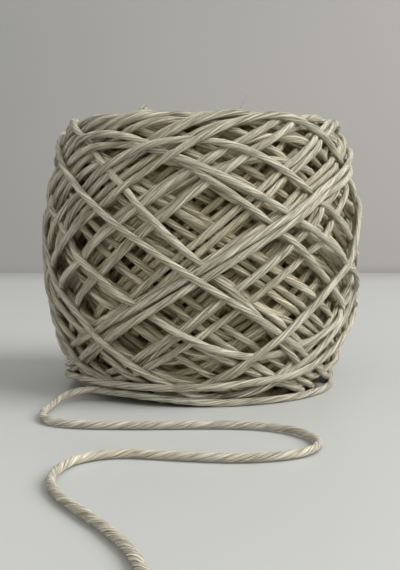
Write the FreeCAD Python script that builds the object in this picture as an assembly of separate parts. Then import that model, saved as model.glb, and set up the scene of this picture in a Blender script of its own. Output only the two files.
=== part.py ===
import FreeCAD, Part
import math
import os

# A package of soft undyed cotton cord, cross-wound on a paper tube, with its free end lying in front.
# Millimetres. The origin is the middle of the tube's lower end, on the table that the package stands on.
# +Z runs up through the tube. -Y is the front, where the free end comes away to the left.
# Azimuths are degrees from +X towards +Y. Seen from above, the cord is wound clockwise.

# The cord
CORD_D = 3.0              # over its twisted strands
CORD_SIDES = 6            # flats that stand for its round section, with the same area
TABLE_GAP = 0.05          # under the cord's corners, where it lies on the table

# The package, measured over its cord
BELLY_D = 137.0           # widest diameter
BELLY_Z = 68.0            # height of the widest place
PACKAGE_H = 114.0         # top of the rim loops
SHOULDER_D = 107.0        # diameter that the upper outline closes to
FOOT_D = 97.0             # diameter that the lower outline closes to
SHOULDER_ROUNDNESS = 1.2  # 1 is a cone-like shoulder, 2 an elliptical one
FOOT_ROUNDNESS = 2.2
OUTLINE_SPARE = 2.5       # height between the rim loops' middle and the place where the outline closes

# The outer layer of turns
LOOPS = 10                # each goes up and down the package once
LOWEST_LOOP = 6.9         # middle of the cord at the lower turning places
STROKE_SHARPNESS = 0.9    # 0 makes the way up and down a wave, 1 a zigzag
PASS_GAP = 0.8            # clear gap between the strokes going up and those going down over them
SEAT_GAP = 0.8            # clear gap between the turns and the layers below, less what the arcs stray
CROSSOVER_SHARE = 0.37    # of the way between neighbouring rim loops, in which the cord changes pass
START_TURN = 0.16         # where in the first loop the cord comes up out of the layers below
START_LENGTH = 26.0       # cord that it takes to come up
START_DEPTH = 1.9         # how much deeper than its pass it starts

# The last turn, which has slipped down to the foot
LAST_LOOP_AZIMUTH = -56.0
SLIP_FROM = 35.0          # azimuth where it starts to leave the even winding
SLIP_TO = -150.0          # azimuth where it is level
SLIP_REST = 0.5           # height of its middle there over the lower turning places
SLIP_RISE = 29.0          # from that level up to where its fall begins
SLIP_STEEPNESS = 3.9
SINK_FROM = -140.0        # azimuths between which it drops from its level to the table
SINK_TO = -225.0
FOOT_TURN_OUT = 2.0       # how far the turn round the foot stands out from the lower turning places
RISE_FROM = -440.0        # azimuth where it leaves the table again
EXIT_AZIMUTH = -482.0     # azimuth where it leaves the package
EXIT_Z = 4.0

# The layers below, as one body
CORE_TOP_DROP = 1.0       # from the top of the rim loops down to its top face
CORE_TOP_DRAW = 2.2       # how far the edge of its top face stands in from its shoulder
CORE_FOOT_DRAW = 3.0      # how far the edge of its lower face stands in from its side
CORE_SIDE_END = 1.0       # height between the turning places of the cord and the ends of its side
HAUNCH_SHARE = 0.35       # of the height from its foot to its belly, where the side's roundness changes

# The paper tube
BORE_D = 32.0
TUBE_WALL = 2.5
TUBE_RECESS = 2.5         # from the top face of the layers down to the tube's upper end
TUBE_FIT = 0.05           # between the tube and the first layer
TUBE_EDGE = 0.4           # worn bevel of its end edges

# The free end, which leaves the winding's end and goes on through these places.
# Each has its X, its Y and its lift over a cord that lies on the table.
TAIL_FIRST_RUN = 5.8      # straight out of the package
TAIL_ROUTE = [
    (-45.3, -44.2, 3.1),
    (-51.8, -47.6, 2.2),
    (-55.2, -54.5, 1.1),
    (-56.8, -64.0, 0.3),
    (-58.2, -74.0, 0.0),
    (-56.5, -84.5, 0.0),
    (-49.5, -92.5, 0.0),
    (-37.0, -95.2, 0.0),
    (-18.0, -95.8, 0.0),
    (4.0, -94.3, 0.0),
    (21.0, -96.0, 0.0),
    (31.5, -103.5, 0.0),
    (37.0, -115.0, 0.0),
    (35.8, -128.5, 0.0),
    (26.5, -137.3, 0.0),
    (11.0, -141.0, 0.0),
    (-8.0, -137.6, 0.0),
    (-24.5, -133.6, 0.0),
    (-36.0, -139.5, 0.0),
    (-41.0, -151.0, 0.0),
    (-41.8, -164.5, 0.0),
    (-37.5, -178.0, 0.0),
    (-29.5, -192.0, 0.0),
    (-20.0, -208.0, 0.0),
    (-13.0, -226.0, 0.0),
    (-9.0, -246.0, 0.0),
]
TAIL_ARC_SHARE = 0.45     # of the shorter run beside a corner, taken by its arc

# Worked out from the sizes above
CORD_AREA = math.pi * CORD_D ** 2 / 4
CORNER_R = math.sqrt(2 * CORD_AREA / (CORD_SIDES * math.sin(2 * math.pi / CORD_SIDES)))
LYING_Z = CORNER_R + TABLE_GAP
PASS_STEP = CORD_D + PASS_GAP
RIM_Z = PACKAGE_H - CORD_D / 2
LOOP_SHIFT = 2 * math.pi / LOOPS
LOOP_TRAVEL = 2 * math.pi - LOOP_SHIFT
HALF_CLIMB = CROSSOVER_SHARE / 2 * LOOP_SHIFT / LOOP_TRAVEL
START_SHARE = START_LENGTH / (BELLY_D / 2 * LOOP_TRAVEL)
END_TURN = LOOPS + math.radians(LAST_LOOP_AZIMUTH - EXIT_AZIMUTH) / LOOP_TRAVEL
CORE_TOP = PACKAGE_H - CORE_TOP_DROP
CORE_DEPTH = PASS_STEP + CORD_D / 2 + SEAT_GAP
TUBE_D = BORE_D + 2 * TUBE_WALL
TUBE_LENGTH = CORE_TOP - TUBE_RECESS
UP = FreeCAD.Vector(0, 0, 1)


def smooth_step(x):
    """Rise from 0 to 1 with level ends, while x goes from 0 to 1."""
    x = min(max(x, 0.0), 1.0)
    return 0.5 - 0.5 * math.cos(math.pi * x)


def outline_radius(z):
    """From the axis to the middle of the outermost cord, whose middle is at height z."""
    belly = (BELLY_D - CORD_D) / 2
    if z > BELLY_Z:
        end = (SHOULDER_D - CORD_D) / 2
        share = (z - BELLY_Z) / (RIM_Z + OUTLINE_SPARE - BELLY_Z)
        roundness = SHOULDER_ROUNDNESS
    else:
        end = (FOOT_D - CORD_D) / 2
        share = (BELLY_Z - z) / BELLY_Z
        roundness = FOOT_ROUNDNESS
    return end + (belly - end) * math.sqrt(max(1 - share ** roundness, 0.0))


def foot_turn_radius():
    return outline_radius(LOWEST_LOOP) + FOOT_TURN_OUT


def outline_tilt(z):
    """Lean of the outline from the vertical at height z, outwards going up."""
    step = 0.05
    return math.atan2(outline_radius(z + step) - outline_radius(z - step), 2 * step)


def below_outline(z, depth):
    """Radius and height of the point that lies a depth inside the outline, square to it at z."""
    tilt = outline_tilt(z)
    return outline_radius(z) - depth * math.cos(tilt), z + depth * math.sin(tilt)


def place(azimuth, radius, height):
    return FreeCAD.Vector(radius * math.cos(azimuth), radius * math.sin(azimuth), height)


def even_winding(turn):
    """Height and depth of the cord after so many loops. Whole numbers are the lower turning places."""
    phase = turn % 1.0
    swing = math.asin(STROKE_SHARPNESS * math.cos(2 * math.pi * phase)) / math.asin(STROKE_SHARPNESS)
    height = (RIM_Z + LOWEST_LOOP) / 2 - (RIM_Z - LOWEST_LOOP) / 2 * swing
    since_foot = (phase + 0.25) % 1.0 - 0.25
    if since_foot < 0.25:
        inner = smooth_step(0.5 + since_foot / (2 * HALF_CLIMB))
    else:
        inner = smooth_step(0.5 - (phase - 0.5) / (2 * HALF_CLIMB))
    return height, PASS_STEP * inner


def slipped_turn(azimuth, even_height):
    """Radius and height of the last turn: over all the others, then round the foot on the table."""
    degrees = math.degrees(azimuth)
    fallen = (SLIP_FROM - 30 - degrees) / (SLIP_FROM - 30 - SLIP_TO)
    slipped = SLIP_RISE * (1 - min(max(fallen, -0.2), 1.0)) ** SLIP_STEEPNESS + LOWEST_LOOP + SLIP_REST
    height = even_height + (slipped - even_height) * smooth_step((SLIP_FROM - degrees) / 40)
    outward = PASS_STEP * smooth_step((SLIP_FROM - 10 - degrees) / 45)
    radius = outline_radius(height) + outward / math.cos(outline_tilt(height))
    risen = smooth_step((RISE_FROM - degrees) / (RISE_FROM - EXIT_AZIMUTH))
    low = LYING_Z + (EXIT_Z - LYING_Z) * risen
    sunk = smooth_step((SINK_FROM - degrees) / (SINK_FROM - SINK_TO))
    return radius + (foot_turn_radius() - radius) * sunk, height + (low - height) * sunk


def cord_middle(turn):
    """The whole way of the outer turns, from the layers below to where the cord leaves the package."""
    azimuth = math.radians(LAST_LOOP_AZIMUTH) + (LOOPS - turn) * LOOP_TRAVEL
    height, depth = even_winding(turn)
    if azimuth > math.radians(SLIP_FROM):
        depth += START_DEPTH * (1 - smooth_step((turn - START_TURN) / START_SHARE))
        radius, height = below_outline(height, depth)
    else:
        radius, height = slipped_turn(azimuth, height if turn < LOOPS else LOWEST_LOOP)
    return place(azimuth, radius, height)


def cord_way(turn):
    step = 0.0005
    return (cord_middle(turn + step) - cord_middle(turn - step)).normalize()


def touching_arc(start, corner, end):
    """Arc from start to end that touches the lines from both to the corner."""
    chord = (end - start) * 0.5
    rise = corner - start - chord
    sagitta = chord.Length * math.tan(math.atan2(rise.Length, chord.Length) / 2)
    return Part.Arc(start, start + chord + rise * (sagitta / rise.Length), end).toShape()


def biarc(start, start_way, end, end_way):
    """Two arcs that leave start and reach end in the given ways."""
    across = end - start
    square = 2 * (1 - start_way.dot(end_way))
    linear = 2 * across.dot(start_way + end_way)
    reach = (math.sqrt(linear ** 2 + 4 * square * across.dot(across)) - linear) / (2 * square)
    first_corner = start + start_way * reach
    second_corner = end - end_way * reach
    joint = (first_corner + second_corner) * 0.5
    return [touching_arc(start, first_corner, joint), touching_arc(joint, second_corner, end)]


def winding_stations():
    """The places along the outer turns, counted in loops, where one biarc ends and the next begins."""
    stations = [START_TURN, START_TURN + START_SHARE]
    for stroke in range(2 * LOOPS):
        climbed = stroke / 2 + HALF_CLIMB
        stroke_share = 0.5 - 2 * HALF_CLIMB
        turns = [climbed + share * stroke_share for share in (0.0, 0.2, 0.5, 0.8, 1.0)]
        stations += [turn for turn in turns if START_TURN + START_SHARE + 0.03 < turn < LOOPS - 0.35]
    last_even = stations[-1]
    pieces = math.ceil((END_TURN - last_even) / 0.085)
    for piece in range(1, pieces + 1):
        stations.append(last_even + (END_TURN - last_even) * piece / pieces)
    return stations


def winding_path():
    """Edges along the middle of the outer turns, then the place and way in which they end."""
    stations = winding_stations()
    places = [cord_middle(turn) for turn in stations]
    ways = [cord_way(turn) for turn in stations]
    edges = [Part.LineSegment(places[0] - ways[0] * CORD_D, places[0]).toShape()]
    for index in range(len(places) - 1):
        edges += biarc(places[index], ways[index], places[index + 1], ways[index + 1])
    end = places[-1] + ways[-1] * CORD_D
    edges.append(Part.LineSegment(places[-1], end).toShape())
    return edges, end, ways[-1]


def tail_path(start, start_way):
    """Edges along the middle of the free end: straight runs joined by arcs that touch them."""
    corners = [start, start + start_way * TAIL_FIRST_RUN]
    corners += [FreeCAD.Vector(x, y, LYING_Z + lift) for x, y, lift in TAIL_ROUTE]
    edges = []
    radii = []
    reached = start
    for before, corner, after in zip(corners, corners[1:], corners[2:]):
        way_in = (corner - before).normalize()
        way_out = (after - corner).normalize()
        reach = TAIL_ARC_SHARE * min((corner - before).Length, (after - corner).Length)
        arc_start = corner - way_in * reach
        arc_end = corner + way_out * reach
        edges.append(Part.LineSegment(reached, arc_start).toShape())
        edges.append(touching_arc(arc_start, corner, arc_end))
        radii.append(reach / math.tan(way_in.getAngle(way_out) / 2))
        reached = arc_end
    edges.append(Part.LineSegment(reached, corners[-1]).toShape())
    return edges, radii


def cord_section(middle, way):
    """The cord's outline across its way: a regular polygon of the round cord's area."""
    across = way.cross(UP).normalize()
    upward = across.cross(way)
    corners = []
    for side in range(CORD_SIDES + 1):
        angle = 2 * math.pi * side / CORD_SIDES
        corners.append(middle + across * CORNER_R * math.cos(angle) + upward * CORNER_R * math.sin(angle))
    return Part.makePolygon(corners)


def cord_tube(edges):
    first = edges[0]
    section = cord_section(first.valueAt(first.FirstParameter), first.tangentAt(first.FirstParameter))
    return Part.Wire(edges).makePipeShell([section], True, False)


def least_gap(edges):
    """Least clear gap between stretches of one cord that lie over five diameters apart along it."""
    cell = 2 * CORD_D
    seen = {}
    least = cell
    along = 0.0
    for edge in edges:
        steps = max(round(edge.Length), 1)
        span = (edge.LastParameter - edge.FirstParameter) / steps
        for step in range(steps):
            spot = edge.valueAt(edge.FirstParameter + span * step)
            distance = along + edge.Length * step / steps
            key = (int(spot.x // cell), int(spot.y // cell), int(spot.z // cell))
            near = [(key[0] + i, key[1] + j, key[2] + k) for i in (-1, 0, 1) for j in (-1, 0, 1)
                    for k in (-1, 0, 1)]
            for other_key in near:
                for other_distance, other in seen.get(other_key, ()):
                    if distance - other_distance > 5 * CORD_D:
                        least = min(least, spot.distanceToPoint(other))
            seen.setdefault(key, []).append((distance, spot))
        along += edge.Length
    return least - CORD_D


def core_outline():
    """Half section of the layers below the outer turns, round the tube."""
    lowest = LOWEST_LOOP + CORE_SIDE_END
    highest = RIM_Z - CORE_SIDE_END
    haunch = lowest + (BELLY_Z - lowest) * HAUNCH_SHARE
    shoulder = (BELLY_Z + highest) / 2
    side = []
    for low, high in ((lowest, haunch), (haunch, BELLY_Z), (BELLY_Z, shoulder), (shoulder, highest)):
        spots = [below_outline(z, CORE_DEPTH) for z in (low, (low + high) / 2, high)]
        side.append([FreeCAD.Vector(radius, 0, height) for radius, height in spots])
    inner_foot = FreeCAD.Vector(TUBE_D / 2 + TUBE_FIT, 0, 0)
    inner_crown = inner_foot + UP * CORE_TOP
    foot = FreeCAD.Vector(side[0][0].x - CORE_FOOT_DRAW, 0, 0)
    crown = FreeCAD.Vector(side[-1][-1].x - CORE_TOP_DRAW, 0, CORE_TOP)
    return Part.Wire([
        Part.LineSegment(inner_foot, foot).toShape(),
        Part.LineSegment(foot, side[0][0]).toShape(),
        *[Part.Arc(*spots).toShape() for spots in side],
        Part.LineSegment(side[-1][-1], crown).toShape(),
        Part.LineSegment(crown, inner_crown).toShape(),
        Part.LineSegment(inner_crown, inner_foot).toShape(),
    ])


def inner_winding(path):
    """The layers below as one body, with the groove that the outer turns come up out of."""
    body = Part.Face(core_outline()).revolve(FreeCAD.Vector(), UP, 360)
    first = path[0]
    start = first.valueAt(first.FirstParameter)
    way = first.tangentAt(first.FirstParameter)
    groove_section = Part.Wire(Part.Circle(start, way, CORNER_R + SEAT_GAP).toShape())
    groove = Part.Wire(path[:3]).makePipeShell([groove_section], True, False)
    return body.cut(groove)


def core_tube():
    wall = Part.makeCylinder(TUBE_D / 2, TUBE_LENGTH).cut(Part.makeCylinder(BORE_D / 2, TUBE_LENGTH))
    rims = [edge for edge in wall.Edges if len(edge.Vertexes) == 1]
    return wall.makeChamfer(TUBE_EDGE, rims)


def main():
    os.makedirs("parts", exist_ok=True)
    path, end, end_way = winding_path()
    tail, tail_radii = tail_path(end, end_way)
    pieces = {
        "core_tube": core_tube(),
        "inner_winding": inner_winding(path),
        "outer_winding": cord_tube(path),
        "loose_tail": cord_tube(tail),
    }
    for name, shape in pieces.items():
        shape.exportStep("parts/" + name + ".step")
        box = shape.BoundBox
        print("%s: solids %d, valid %s, volume %.0f, z %.2f to %.2f" % (
            name, len(shape.Solids), shape.isValid(), shape.Volume, box.ZMin, box.ZMax))
    for name, edges in (("outer_winding", path), ("loose_tail", tail)):
        length = sum(edge.Length for edge in edges)
        print("%s: length %.0f, section times length %.0f" % (name, length, CORD_AREA * length))
    print("least gap of the outer turns to themselves: %.2f" % least_gap(path))
    print("least radius of the outer turns: %.1f" % min(
        edge.Curve.Radius for edge in path if hasattr(edge.Curve, "Radius")))
    print("radii of the free end: " + ", ".join("%.0f" % radius for radius in tail_radii))
    print("the outer turns end at %.1f, %.1f, %.1f" % tuple(end))
    print("the free end's first corner is at %.1f, %.1f, %.1f" % tuple(end + end_way * TAIL_FIRST_RUN))


main()
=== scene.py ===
# %% [markdown]
# # A roll of soft cotton cord
# The object is a roll of undyed cotton cord, cross-wound on a paper tube, with its free end lying in front.
# Its look comes from one thing: a round soft cord that is pulled tight over what was wound before it. It
# could be drawn as a barrel with a bumpy texture, but then the gaps, the crossings and the outline would all
# be wrong. So this lesson winds the cord, loop by loop, as the machine does, and turns the result into tubes.
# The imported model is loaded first, because every piece has to sit in its frame.

# %% The frame
import math
import bpy
import numpy as np
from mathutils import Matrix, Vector


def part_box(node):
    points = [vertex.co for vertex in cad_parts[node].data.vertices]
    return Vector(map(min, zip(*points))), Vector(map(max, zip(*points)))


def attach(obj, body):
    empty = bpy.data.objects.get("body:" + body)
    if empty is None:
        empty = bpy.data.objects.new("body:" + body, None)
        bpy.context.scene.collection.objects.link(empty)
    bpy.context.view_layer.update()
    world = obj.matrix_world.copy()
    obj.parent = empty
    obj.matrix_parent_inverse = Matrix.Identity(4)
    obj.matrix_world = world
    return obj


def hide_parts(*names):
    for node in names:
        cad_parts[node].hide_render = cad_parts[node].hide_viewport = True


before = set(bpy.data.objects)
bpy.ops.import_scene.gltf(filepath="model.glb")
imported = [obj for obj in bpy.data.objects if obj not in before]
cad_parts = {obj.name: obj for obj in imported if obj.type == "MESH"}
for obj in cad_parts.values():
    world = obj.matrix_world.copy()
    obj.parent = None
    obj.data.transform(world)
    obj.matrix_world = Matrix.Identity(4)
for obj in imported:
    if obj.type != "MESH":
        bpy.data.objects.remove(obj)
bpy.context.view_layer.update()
bpy.ops.object.select_all(action="DESELECT")
print("loaded", sorted(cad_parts))

# %% [markdown]
# ## The camera
# The picture was taken from a little above the table and close to the roll, so its perspective is strong. The
# camera comes right after the model, before any piece is made.

# %% The camera
CAMERA_PLACE = (-0.0008, -0.418, 0.0725)
CAMERA_DOWN = math.radians(4.04)
CAMERA_LENS = 60.3  # mm, on a sensor of 36 mm along the picture's long side

camera_data = bpy.data.cameras.new("camera")
camera_data.lens = CAMERA_LENS
camera = bpy.data.objects.new("camera", camera_data)
camera.location = CAMERA_PLACE
camera.rotation_euler = (math.pi / 2 - CAMERA_DOWN, 0, 0)
bpy.context.scene.collection.objects.link(camera)
bpy.context.scene.camera = camera
print("camera at", CAMERA_PLACE)

# %% [markdown]
# ## The outline of the roll
# The roll is a barrel with a rounded foot and a sloping shoulder. One formula gives its radius at any height.
# It is never drawn: it only tells the winding where there is still room, so the outline of the finished roll
# stays as uneven as real loops make it.

# %% The outline of the roll
CORD_D = 0.003
CORD_R = CORD_D / 2
BELLY_D = 0.137
BELLY_Z = 0.068
ROLL_H = 0.114
SHOULDER_D = 0.110
FOOT_D = 0.101
SHOULDER_ROUNDNESS = 1.2
FOOT_ROUNDNESS = 1.9
OUTLINE_SPARE = 0.0025
TUBE_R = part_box("core_tube")[1][0]
RIM_Z = ROLL_H - CORD_R


def outline_radius(z):
    """Radius of the full roll at heights z."""
    z = np.asarray(z, float)
    up = np.clip((z - BELLY_Z) / (RIM_Z + OUTLINE_SPARE - BELLY_Z), 0, 1)
    down = np.clip((BELLY_Z - z) / BELLY_Z, 0, 1)
    shoulder = SHOULDER_D / 2 + (BELLY_D - SHOULDER_D) / 2 * np.sqrt(1 - up ** SHOULDER_ROUNDNESS)
    foot = FOOT_D / 2 + (BELLY_D - FOOT_D) / 2 * np.sqrt(1 - down ** FOOT_ROUNDNESS)
    return np.where(z > BELLY_Z, shoulder, foot)


print("radius at the foot, belly and rim", outline_radius([0, BELLY_Z, RIM_Z]))

# %% [markdown]
# ## A map of the surface
# To lay a cord over others, one has to know how high they stand. Testing every tube against every other would
# be slow. So a map keeps the radius of the surface in small cells of azimuth and height, and which point of
# which stroke lies there. Looking it up and raising it are both a few array operations.

# %% A map of the surface
AZIMUTH_CELLS = 720
CELL_H = 0.0006
MAP_FLOOR = -0.003
MAP_ROWS = 208
surface = np.full((AZIMUTH_CELLS, MAP_ROWS), TUBE_R)
top_stroke = np.full((AZIMUTH_CELLS, MAP_ROWS), -1)
top_point = np.zeros((AZIMUTH_CELLS, MAP_ROWS), int)


def cells(azimuth, z):
    """The map's indices for azimuths in radians and heights in metres."""
    column = np.floor(azimuth / (2 * math.pi) * AZIMUTH_CELLS).astype(int) % AZIMUTH_CELLS
    row = np.clip(((z - MAP_FLOOR) / CELL_H).astype(int), 0, MAP_ROWS - 1)
    return column, row


def beside(azimuth, z, radius, offset):
    """Azimuths and heights of the points that lie beside a path at a sideways offset."""
    run = np.gradient(azimuth) * radius
    rise = np.gradient(z)
    length = np.hypot(run, rise)
    return azimuth - offset * rise / length / radius, z + offset * run / length


print("map of", surface.size, "cells")


# %% Looking up the map, and raising it
FEELERS = np.linspace(-0.92, 0.92, 7) * CORD_R     # offsets at which a cord feels for what lies below
TOP_LINES = np.linspace(-0.97, 0.97, 11) * CORD_R  # offsets at which its own top is drawn into the map
FINER = 3                                          # steps of that drawing from one point to the next


def least_radius(azimuth, z):
    """Radius that the cord's middle needs to clear what is below, and which point of which stroke that is."""
    column, row = cells(azimuth, z)
    radius = surface[column, row] + CORD_R
    needed = np.zeros_like(z)
    below = np.zeros((2, len(z)), int)
    for offset in FEELERS:
        column, row = cells(*beside(azimuth, z, radius, offset))
        here = surface[column, row] + math.sqrt(CORD_R ** 2 - offset ** 2)
        higher = here > needed
        needed[higher] = here[higher]
        below[0][higher] = top_stroke[column, row][higher]
        below[1][higher] = top_point[column, row][higher]
    return needed, below


def add_to_surface(azimuth, z, radius, stroke, first):
    """Raise the map to the top of the cord along a path."""
    steps = np.arange(len(z))
    fine = np.linspace(0, steps[-1], steps[-1] * FINER + 1)
    azimuth, z, radius = (np.interp(fine, steps, values) for values in (azimuth, z, radius))
    for offset in TOP_LINES:
        column, row = cells(*beside(azimuth, z, radius, offset))
        top = radius + math.sqrt(CORD_R ** 2 - offset ** 2)
        higher = top > surface[column, row]
        surface[column[higher], row[higher]] = top[higher]
        top_stroke[column[higher], row[higher]] = stroke
        top_point[column[higher], row[higher]] = first + np.rint(fine[higher]).astype(int)


print("bare tube", least_radius(np.array([0.0, 0.1]), np.array([0.05, 0.05]))[0])

# %% [markdown]
# ## Pulling the cord tight
# A tight cord touches what stands highest and is straight in between. Against the round surface a straight
# line sinks inwards, so first that sinking is worked out from the curvature. With it taken out, the tightest
# line is simply the upper hull of the heights below, like a string over nails.


# %% Pulling the cord tight
def smooth(values, passes):
    """Values evened out with their neighbours, some times over."""
    for _ in range(passes):
        padded = np.concatenate((values[:1], values, values[-1:]))
        values = (padded[:-2] + 2 * padded[1:-1] + padded[2:]) / 4
    return values


def pull_tight(azimuth, z, allowed):
    """The tightest line over the radii that a path may go down to."""
    run = np.gradient(azimuth) * allowed
    step = np.hypot(run, np.gradient(z))
    along = np.concatenate(([0], np.cumsum((step[1:] + step[:-1]) / 2)))
    bend = (run / step) ** 2 / allowed
    slope = np.concatenate(([0], np.cumsum((bend[1:] + bend[:-1]) / 2 * np.diff(along))))
    sag = np.concatenate(([0], np.cumsum((slope[1:] + slope[:-1]) / 2 * np.diff(along))))
    height = allowed - sag
    hull = [0]
    for index in range(1, len(z)):
        while len(hull) > 1:
            a, b = hull[-2], hull[-1]
            if (height[b] - height[a]) * (along[index] - along[a]) > (
                    height[index] - height[a]) * (along[b] - along[a]):
                break
            hull.pop()
        hull.append(index)
    return smooth(np.interp(along, along[hull], height[hull]) + sag, 1)


print("smoothed spike", smooth(np.array([0.0, 0, 1, 0, 0]), 1))

# %% [markdown]
# ## Laying one stroke
# Cotton is soft, so a tight cord bites a little into the ones that it crosses, and they dip under it. Each
# bite is written down for the stroke below, and the dips are bent in when all is wound. The end of a stroke
# stays off the map until the next one is laid, because a cord doesn't climb over its own turn.

# %% Laying one stroke
PRESS = 0.0009     # how far a tight cord bites into those below it
RIDGE_GIVE = 0.55  # share of a lone ridge's height that gives way under it
MOST_GIVE = 0.0022
DIP_SHARE = 0.8    # share of that bite by which the cords below dip
LAG = 5            # points at the end of a stroke that wait
RIDGE_PASSES = 40  # of smoothing; what they take away is a lone ridge
strokes = []
dips = []
held = []


def lay(azimuth, z):
    """Pull the cord tight along a path and add it to the map."""
    number = len(strokes)
    needed, below = least_radius(azimuth, z)
    ridge = needed - smooth(needed, RIDGE_PASSES)
    allowed = needed - PRESS - np.clip(RIDGE_GIVE * ridge, 0, MOST_GIVE)
    if strokes:
        allowed[0] = strokes[-1][2][-1]
    radius = pull_tight(azimuth, z, allowed)
    for bite, stroke, point in zip(needed - radius, *below):
        if bite > 0 and stroke >= 0:
            dips[stroke][point] = max(dips[stroke][point], bite * DIP_SHARE)
    strokes.append((azimuth, z, radius))
    dips.append(np.zeros(len(z)))
    last = len(z) - LAG
    add_to_surface(azimuth[LAG:last], z[LAG:last], radius[LAG:last], number, LAG)
    if held:
        add_to_surface(*held.pop())
    held.append((azimuth[last - 1:], z[last - 1:], radius[last - 1:], number, last - 1))


print("strokes laid", len(strokes))

# %% [markdown]
# ## The way of one stroke
# The guide of the winding machine goes up and down while the tube turns, so each stroke is nearly a straight
# line on the unrolled surface, with soft turns at its ends. A small drift makes it as uneven as real cord. A
# stroke turns back as near the end of the roll as the loops before it leave room, and that alone shapes the
# shoulder and the foot.

# %% The way of one stroke
STROKE_SHARPNESS = 0.8                   # 0 makes the way up and down a wave, 1 a zigzag
STEP = 0.002
DRIFT = 0.0007
DRIFT_PLACES = 5                         # places along a stroke, each with a drift of its own
DRIFT_PASSES = 20
NO_DRIFT = np.zeros(DRIFT_PLACES)
FOOT_Z = 0.0018
TURN_SEARCH = 0.018                      # how far from the ends a turning place may be
TURN_SPAN = np.linspace(-0.15, 0.15, 9)  # azimuths to both sides of it that need room, in radians
TURN_TAKEN = 85                          # percentile of the surface there that counts as taken
TURN_ROOM = (-0.0012, 0.0006)            # least and most room that a turning place may ask for
chance = np.random.default_rng(7)


def stroke_path(azimuth_from, azimuth_to, z_from, z_to, drift):
    """Azimuths and heights along one stroke between two turning places."""
    length = math.hypot((azimuth_to - azimuth_from) * BELLY_D / 2, z_to - z_from)
    share = np.linspace(0, 1, int(length / STEP) + 2)
    swing = 0.5 - 0.5 * np.arcsin(STROKE_SHARPNESS * np.cos(math.pi * share)) / math.asin(STROKE_SHARPNESS)
    strays = np.interp(share, np.linspace(0, 1, len(drift) + 2), np.concatenate(([0], drift, [0])))
    z = z_from + (z_to - z_from) * swing + smooth(strays, DRIFT_PASSES)
    return azimuth_from + (azimuth_to - azimuth_from) * share, np.clip(z, FOOT_Z, RIM_Z)


def turning_height(azimuth, fullness, z_first, z_last):
    """Height of the next turning place: as near the end as the surface has room for."""
    columns = cells(azimuth + TURN_SPAN, np.zeros_like(TURN_SPAN))[0]
    heights = np.linspace(z_first, z_last, round(abs(z_last - z_first) / CELL_H))
    taken = np.percentile(surface[columns][:, cells(0.0, heights)[1]], TURN_TAKEN, axis=0)
    room = TUBE_R + (outline_radius(heights) - TUBE_R) * fullness - taken - CORD_R
    enough = np.flatnonzero(room > chance.uniform(*TURN_ROOM))
    return heights[enough[0]] if len(enough) else heights[np.argmax(room)]


print("points in a stroke", len(stroke_path(0, -math.pi, FOOT_Z, RIM_Z, NO_DRIFT)[0]))

# %% [markdown]
# ## Winding the roll
# Each loop starts a little further round than the last. On this machine about eleven steps go round the roll,
# and three to five loops follow each other side by side in each. So the older rounds lie nearly closed, with
# narrow openings that go down several strands. Every loop is wound, from the bare tube outwards, because what
# lies below decides where the next one goes.

# %% Going up, going down, and some loops side by side
STRAND_PITCH = math.radians(5.1)  # between loops that lie side by side
DOWN_TRAVEL = math.radians(165)   # how far round a stroke down goes; the one up takes the rest of the loop
RIM_SLACK = 0.0004                # how far under the rim the turning places begin
RIM_STRAY = 0.006                 # how uneven their azimuths are, in radians
GROUP_DRIFT = DRIFT / 6           # by which the drift changes from one loop of a group to the next
BELLY_BAND = 0.004                # to both sides of BELLY_Z, where the fullness is measured
BELLY_FULL = 95                   # percentile of the radii there that counts


def fullness_now():
    """How full the roll is: 0 for the bare tube, 1 at its outline."""
    rows = cells(0.0, np.array([BELLY_Z - BELLY_BAND, BELLY_Z + BELLY_BAND]))[1]
    return (np.percentile(surface[:, rows[0]:rows[1]], BELLY_FULL) - TUBE_R) / (BELLY_D / 2 - TUBE_R)


def wind_up(azimuth_to, fullness, drift):
    """Lay the stroke up to the rim."""
    azimuth, z = (strokes[-1][0][-1], strokes[-1][1][-1]) if strokes else (0.0, FOOT_Z)
    rim = turning_height(azimuth_to, fullness, RIM_Z - RIM_SLACK, RIM_Z - TURN_SEARCH)
    lay(*stroke_path(azimuth, azimuth_to, z, rim, drift))


def wind_down(azimuth_to, fullness, drift):
    """Lay the stroke down to the foot."""
    foot = turning_height(azimuth_to, fullness, FOOT_Z, FOOT_Z + TURN_SEARCH)
    lay(*stroke_path(strokes[-1][0][-1], azimuth_to, strokes[-1][1][-1], foot, drift))


def wind_group(azimuth, count):
    """Lay loops side by side, each ending one pitch further round, the first at the given azimuth."""
    drifts = chance.normal(0, DRIFT, (2, DRIFT_PLACES))
    for _ in range(count):
        start = strokes[-1][0][-1] if strokes else 0.0
        travel = 2 * math.pi - (azimuth - start) % (2 * math.pi)
        fullness = fullness_now()
        wind_up(start - travel + DOWN_TRAVEL + chance.normal(0, RIM_STRAY), fullness, drifts[0])
        wind_down(start - travel, fullness, drifts[1])
        azimuth += STRAND_PITCH
        drifts = drifts + chance.normal(0, GROUP_DRIFT, drifts.shape)


print("bare tube is full to", fullness_now())

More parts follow.
